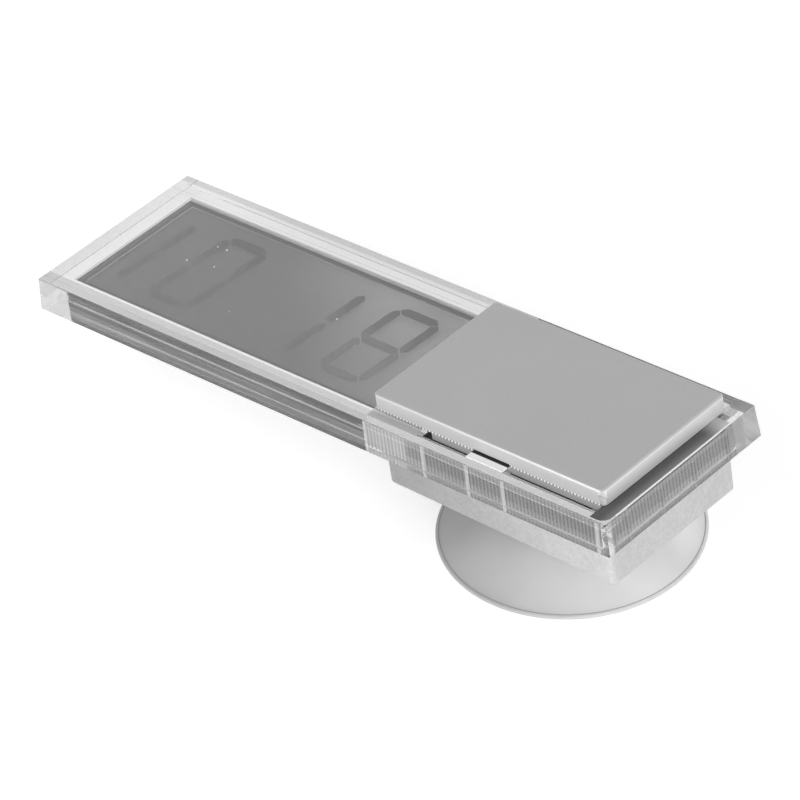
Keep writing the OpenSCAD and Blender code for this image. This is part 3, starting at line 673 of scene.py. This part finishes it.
# %% [markdown]
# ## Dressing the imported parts
# The record names each part's material slot, and each slot has its finish by now. The window
# behind the display is acrylic too, but it has the display's sealed edge, so it gets its own.

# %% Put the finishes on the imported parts
SLOT_OF = {part["node"]: part["material_slot"] for part in frame["record"]["subparts"]}
for node_name, slot_name in SLOT_OF.items():
    part = frame["nodes"][node_name]
    part.data.materials.clear()
    part.data.materials.append(FINISH[slot_name])
frame["nodes"]["rear_window"].data.materials[0] = FINISH["window_acrylic"]
print("finishes:", len(FINISH), "parts dressed:", len(SLOT_OF))

# %% [markdown]
# ## Rounded arrises
# A drawn edge is perfectly sharp, and no real one is: the polished plate and the moulded housing
# end in a tiny round that catches the light. A copy of the part, its doubled corners merged and
# its flat faces joined, gets a Bevel modifier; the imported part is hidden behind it.

# %% Refined skins
MERGE_MM, FLAT_DEGREES = 0.002, 1
ARRIS_DEGREES, ARRIS_STEPS = 30, 2


def body_of(node_name):
    return frame["nodes"][node_name]["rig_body"]


def refined(node_name, new_name, round_mm, smooth=True):
    """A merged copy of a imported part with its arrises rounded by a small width. A part of flat
    faces is left flat, because a bent normal on a clear face would blur what lies behind it."""
    mesh = frame["nodes"][node_name].data.copy()
    mesh.name = new_name
    shell = bmesh.new()
    shell.from_mesh(mesh)
    bmesh.ops.remove_doubles(shell, verts=shell.verts, dist=MERGE_MM * MM)
    bmesh.ops.dissolve_limit(shell, angle_limit=math.radians(FLAT_DEGREES), verts=shell.verts,
                             edges=shell.edges)
    shell.to_mesh(mesh)
    shell.free()
    if smooth:
        mesh.shade_smooth()
        mesh.set_sharp_from_angle(angle=math.radians(ARRIS_DEGREES))
    else:
        mesh.shade_flat()
    piece = bpy.data.objects.new(new_name, mesh)
    bpy.context.scene.collection.objects.link(piece)
    bevel = piece.modifiers.new("arris", "BEVEL")
    bevel.width = round_mm * MM
    bevel.segments = ARRIS_STEPS
    bevel.limit_method = "ANGLE"
    bevel.angle_limit = math.radians(ARRIS_DEGREES)
    bevel.use_clamp_overlap = False
    bevel.harden_normals = smooth
    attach(piece, body_of(node_name))
    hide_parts(node_name)
    print(new_name, "faces", len(mesh.polygons))


refined("face_plate", "clear_plate", 0.05, smooth=False)
refined("silver_cover", "painted_cover", 0.06)
refined("rear_housing", "milky_housing", 0.15)

# %% [markdown]
# ## Pieces from arrays of points
# The sucker and the foil are new meshes, each from one array of points. One function makes such a
# mesh, welds its doubled points, turns its faces outwards and hangs it on its body.

# %% Pieces from points
WELD_MM, SMOOTH_DEGREES = 0.001, 35


def mesh_piece(name, points, faces, finish, body, stands_for=None):
    """A mesh from a whole array of points and a list of faces, closed and turned outwards, that
    rides a body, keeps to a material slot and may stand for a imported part."""
    mesh = bpy.data.meshes.new(name)
    mesh.from_pydata(points.reshape(-1, 3).tolist(), [], faces)
    shell = bmesh.new()
    shell.from_mesh(mesh)
    bmesh.ops.remove_doubles(shell, verts=shell.verts, dist=WELD_MM * MM)
    bmesh.ops.recalc_face_normals(shell, faces=shell.faces)
    shell.to_mesh(mesh)
    shell.free()
    mesh.shade_smooth()
    mesh.set_sharp_from_angle(angle=math.radians(SMOOTH_DEGREES))
    mesh.materials.append(FINISH[finish])
    piece = bpy.data.objects.new(name, mesh)
    bpy.context.scene.collection.objects.link(piece)
    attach(piece, body)
    if stands_for:
        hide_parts(stands_for)
    print(name, "faces", len(mesh.polygons))


# %% [markdown]
# ## Rows that close on themselves
# A turned piece is many copies of its outline round an axis, and a flat strip is two copies of its
# outline, one over the other. In both, each row of points closes on itself and joins the next row
# with four-cornered faces.

# %% Rings of faces and turned outlines


def ring_faces(rows, around):
    """Four-cornered faces between neighbouring rows of points that close on themselves."""
    row, column = np.meshgrid(np.arange(rows - 1), np.arange(around), indexing="ij")
    step = (column + 1) % around
    corners = [row * around + column, row * around + step, (row + 1) * around + step,
               (row + 1) * around + column]
    return np.stack(corners, -1).reshape(-1, 4)


def turned(outline, around):
    """Points of an outline of radius and height turned around Z: x = r cos a, y = r sin a."""
    a = np.linspace(0, FULL_TURN, around, endpoint=False)
    r, z = outline[:, :1], outline[:, 1:]
    return np.stack([r * np.cos(a), r * np.sin(a), z + 0 * a], -1)


# %% [markdown]
# ## The sucker
# A soft sucker is round about one axis, so its skin is an outline turned around Z: the outline
# runs out under the hollow, over the sealing rim's bead and up the cone to the neck and the
# mushroom head, which the housing's keyhole holds. The hollow is part of a ball, the bead half an
# ellipse, and the cone's height is a power of the way inwards, so it starts flat at the rim.

# %% Sucker
SUCKER_SIDES, CONE_POWER = 160, 1.3
rim_r, rim_h, bead_r, cone_h, shoulder_r = 17.5, 0.5, 0.25, 6.4, 5.5
neck_r, head_r, head_low, head_high = 2.6, 4.2, 8.64, 10.64
hollow_r, hollow_h = 16.3, 3.4
inward = np.linspace(1, 0, 40)
cone = np.stack([shoulder_r + (rim_r - bead_r - shoulder_r) * inward,
                 rim_h + (cone_h - rim_h) * (1 - inward) ** CONE_POWER], 1)
over_bead = np.linspace(0, math.pi, 9)
bead = np.stack([rim_r - bead_r + bead_r * np.sin(over_bead),
                 rim_h / 2 - rim_h / 2 * np.cos(over_bead)], 1)
ball_r = (hollow_r ** 2 + hollow_h ** 2) / (2 * hollow_h)
dip = np.linspace(0, math.asin(hollow_r / ball_r), 24)
hollow = np.stack([ball_r * np.sin(dip), hollow_h - ball_r * (1 - np.cos(dip))], 1)
mushroom = np.array([[neck_r, cone_h], [neck_r, head_low], [head_r, head_low],
                     [head_r, (head_low + head_high) / 2], [head_r * 0.8, head_high - 0.3],
                     [head_r / 2, head_high], [0, head_high]])
outline = np.concatenate([hollow, bead, cone, mushroom]) * MM
mesh_piece("soft_sucker", turned(outline, SUCKER_SIDES),
           ring_faces(len(outline), SUCKER_SIDES).tolist(), "soft_vinyl",
           "sucker", stands_for="sucker")

# %% [markdown]
# ## The black foil
# A thin strip of black foil lies on the plate beside the cover's right end. It starts under the
# cover's wall and its outer near corner is round. Its outline is one array of points, which a
# second row lifts by the foil's thickness.

# %% Foil strip
FOIL_X, FOIL_Y, FOIL_Z, FOIL_R = (-2.75, -0.3), (-14.15, 9.9), (0.01, 0.05), 1.3
bend = np.linspace(-math.pi / 2, 0, 12)
foil_outline = np.concatenate([
    [[FOIL_X[0], FOIL_Y[0]]],
    np.stack([FOIL_X[1] - FOIL_R + FOIL_R * np.cos(bend),
              FOIL_Y[0] + FOIL_R + FOIL_R * np.sin(bend)], 1),
    [[FOIL_X[1], FOIL_Y[1]], [FOIL_X[0], FOIL_Y[1]]]])
corners = len(foil_outline)
foil_points = np.stack([np.column_stack([foil_outline, np.full(corners, z)]) for z in FOIL_Z])
foil_faces = ring_faces(2, corners).tolist() + [list(range(corners)),
                                                list(range(corners, 2 * corners))]
mesh_piece("black_foil", from_head(foil_points), foil_faces, "foil", "clock_head")

# %% [markdown]
# ## Studio
# The clock stands on a pale floor under large soft lamps. The floor and the world look white to
# the camera, to reflections and to what is seen through clear plastic, but light the clock only
# as much as their plain colours do.

# %% Floor
FLOOR_HALF, FLOOR_GLOW = 3.0, 0.49


def seen_directly(f):
    """1 for camera, mirror and see-through rays, 0 for the rays that light a surface."""
    camera_ray, mirror_ray, clear_ray = (
        f.node("ShaderNodeLightPath", output=f"Is {way} Ray")
        for way in ("Camera", "Glossy", "Transmission"))
    return (camera_ray + mirror_ray + clear_ray).smaller(1.0)


floor_mesh = bpy.data.meshes.new("floor")
corner = np.array([[-1, -1], [1, -1], [1, 1], [-1, 1]]) * FLOOR_HALF
floor_mesh.from_pydata([(x, y, -0.02 * MM) for x, y in corner.tolist()], [], [(0, 1, 2, 3)])
floor = bpy.data.objects.new("floor", floor_mesh)
bpy.context.scene.collection.objects.link(floor)

ground = Finish("pale_floor")
pale = ground.node("ShaderNodeBsdfPrincipled", {}, {"Base Color": grey(0.8), "Roughness": 0.7,
                                                    "Specular IOR Level": 0.2})
glow = ground.node("ShaderNodeEmission", {}, {"Color": grey(1),
                                              "Strength": seen_directly(ground) * FLOOR_GLOW})
both = ground.node("ShaderNodeAddShader", {}, {0: pale, 1: glow})
ground.node("ShaderNodeOutputMaterial", {}, {"Surface": both})
floor_mesh.materials.append(ground.owner)
print("floor of", 2 * FLOOR_HALF, "m")

# %% [markdown]
# ## The room
# The world is the room around the clock: white at the horizon and greyer overhead, so the plate's
# top shows a soft gradient.

# %% World
bpy.context.scene.world = bpy.data.worlds.new("studio")
world = Finish("studio", bpy.context.scene.world)
direction = world.node("ShaderNodeTexCoord", output="Generated")
upward = world.node("ShaderNodeSeparateXYZ", {}, {0: direction}, "Z")
white = world.mix(upward.rise(0.2, 1.0), grey(1.0), grey(0.72))
light = world.mix(upward.rise(-0.1, 1.0), grey(0.75), grey(0.3))
room = world.mix(seen_directly(world), light, white)
background = world.node("ShaderNodeBackground", {}, {"Color": room})
world.node("ShaderNodeOutputWorld", {}, {"Surface": background})
print("room of", len(world.tree.nodes), "nodes")

# %% [markdown]
# ## Lamps
# Three large square lamps stand round the clock: the front and side ones make the sides' tones,
# the back one draws the far arrises. They don't show through clear pieces, where they would leave
# white blobs.

# %% Soft lamps


def lamp(name, place, aim, size, power):
    """A square area lamp that faces a point. A lamp shines along its own -Z."""
    light = bpy.data.lights.new(name, "AREA")
    light.shape, light.size, light.energy = "SQUARE", size, power
    thing = bpy.data.objects.new(name, light)
    bpy.context.scene.collection.objects.link(thing)
    z = np.array(place, float) - aim
    z /= np.linalg.norm(z)
    x = np.cross([0, 0, 1], z)
    x /= np.linalg.norm(x)
    seat = np.eye(4)
    seat[:3, :3] = np.stack([x, np.cross(z, x), z], 1)
    seat[:3, 3] = place
    thing.matrix_world = Matrix(seat)
    thing.visible_transmission = False
    print(name, "of", power, "W")


middle = np.array(cad_low + cad_high) / 2
lamp("front_lamp", (-0.35, -1.0, 0.4), middle, 0.7, 6.0)
lamp("side_lamp", (1.05, -0.45, 0.4), middle, 0.7, 7.0)
lamp("back_lamp", (0.1, 0.8, 0.7), middle, 0.6, 1.5)
bpy.context.scene.view_settings.view_transform = "Standard"

# %% [markdown]
# ## Long light paths
# A clear block leads light from face to face: a ray that enters the plate's end is mirrored a
# dozen times before it leaves, and a path that is cut short comes out black. So the paths through
# clear pieces may be long.

# %% Longer paths
LONGEST_PATH = 40
for limit in ("max_bounces", "glossy_bounces", "transmission_bounces", "transparent_max_bounces"):
    setattr(bpy.context.scene.cycles, limit, LONGEST_PATH)
print("longest light path:", LONGEST_PATH, "steps")
